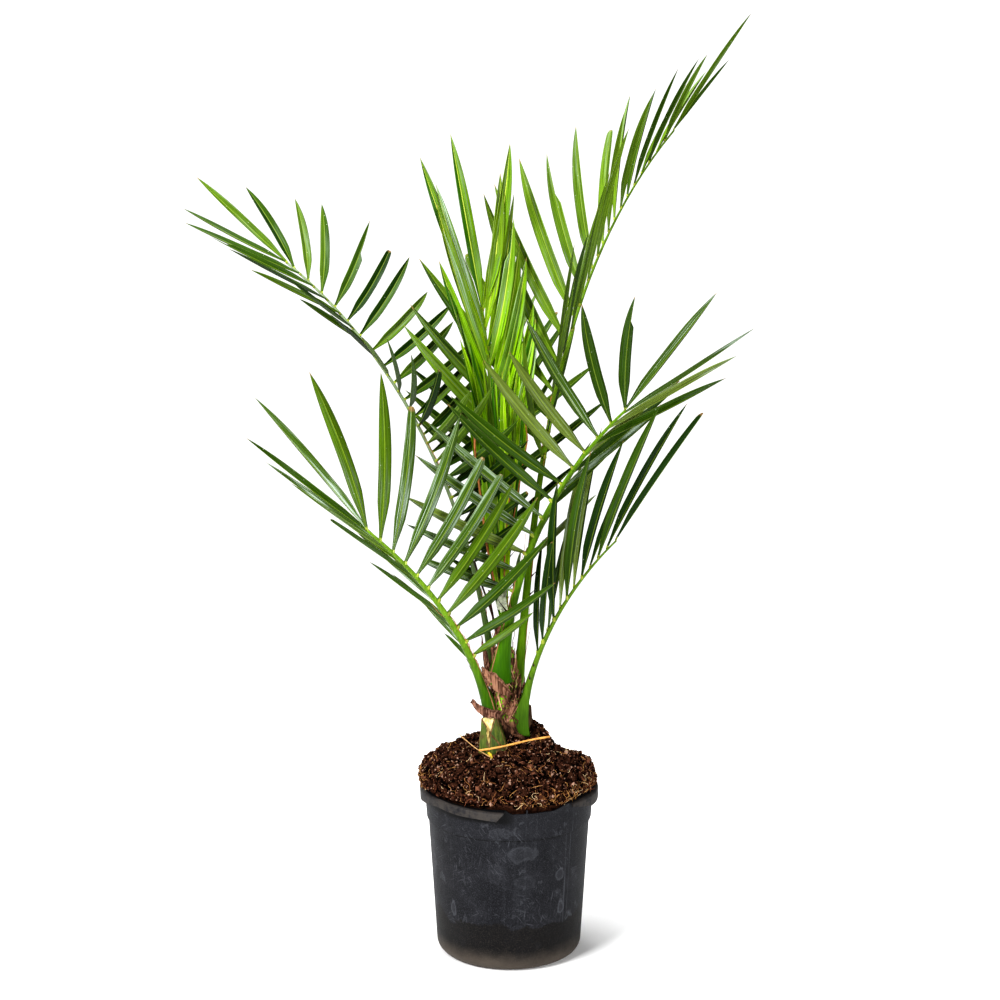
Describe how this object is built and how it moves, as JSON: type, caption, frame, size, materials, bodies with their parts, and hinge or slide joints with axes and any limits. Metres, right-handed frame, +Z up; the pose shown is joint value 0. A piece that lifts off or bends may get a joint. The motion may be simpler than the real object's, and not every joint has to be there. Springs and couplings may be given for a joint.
{
  "type": "potted date palm",
  "caption": "Young Canary Island date palm with arching feather fronds and an upright new spear, in a round black nursery pot heaped with peat.",
  "frame": {"origin": "middle of the flat underside of the pot", "axes": "+Z up along the pot's axis, +X to the viewer's right, -Y towards the viewer of the picture"},
  "size_m": [0.4705, 0.3719, 0.7786],
  "materials": {
    "pot": "dusty black moulded plastic",
    "peat": "damp crumbly peat with root fibres",
    "stem": "brown fibrous leaf sheaths",
    "leaf_base": "green leaf base with a pale dry cut",
    "frond": "satin dark green leaflets",
    "young_frond": "bright yellow-green new leaflets"
  },
  "bodies": {
    "root": {"pot": "pot", "soil": "peat", "stem": "stem", "stub_front": "leaf_base", "stub_right": "stem", "stub_back": "stem", "frond_front_left": "frond", "frond_front_right": "frond", "frond_upper_left": "frond", "frond_upper_right": "frond", "frond_low_right": "frond", "spear": "young_frond", "frond_back": "frond"}
  },
  "joints": []
}
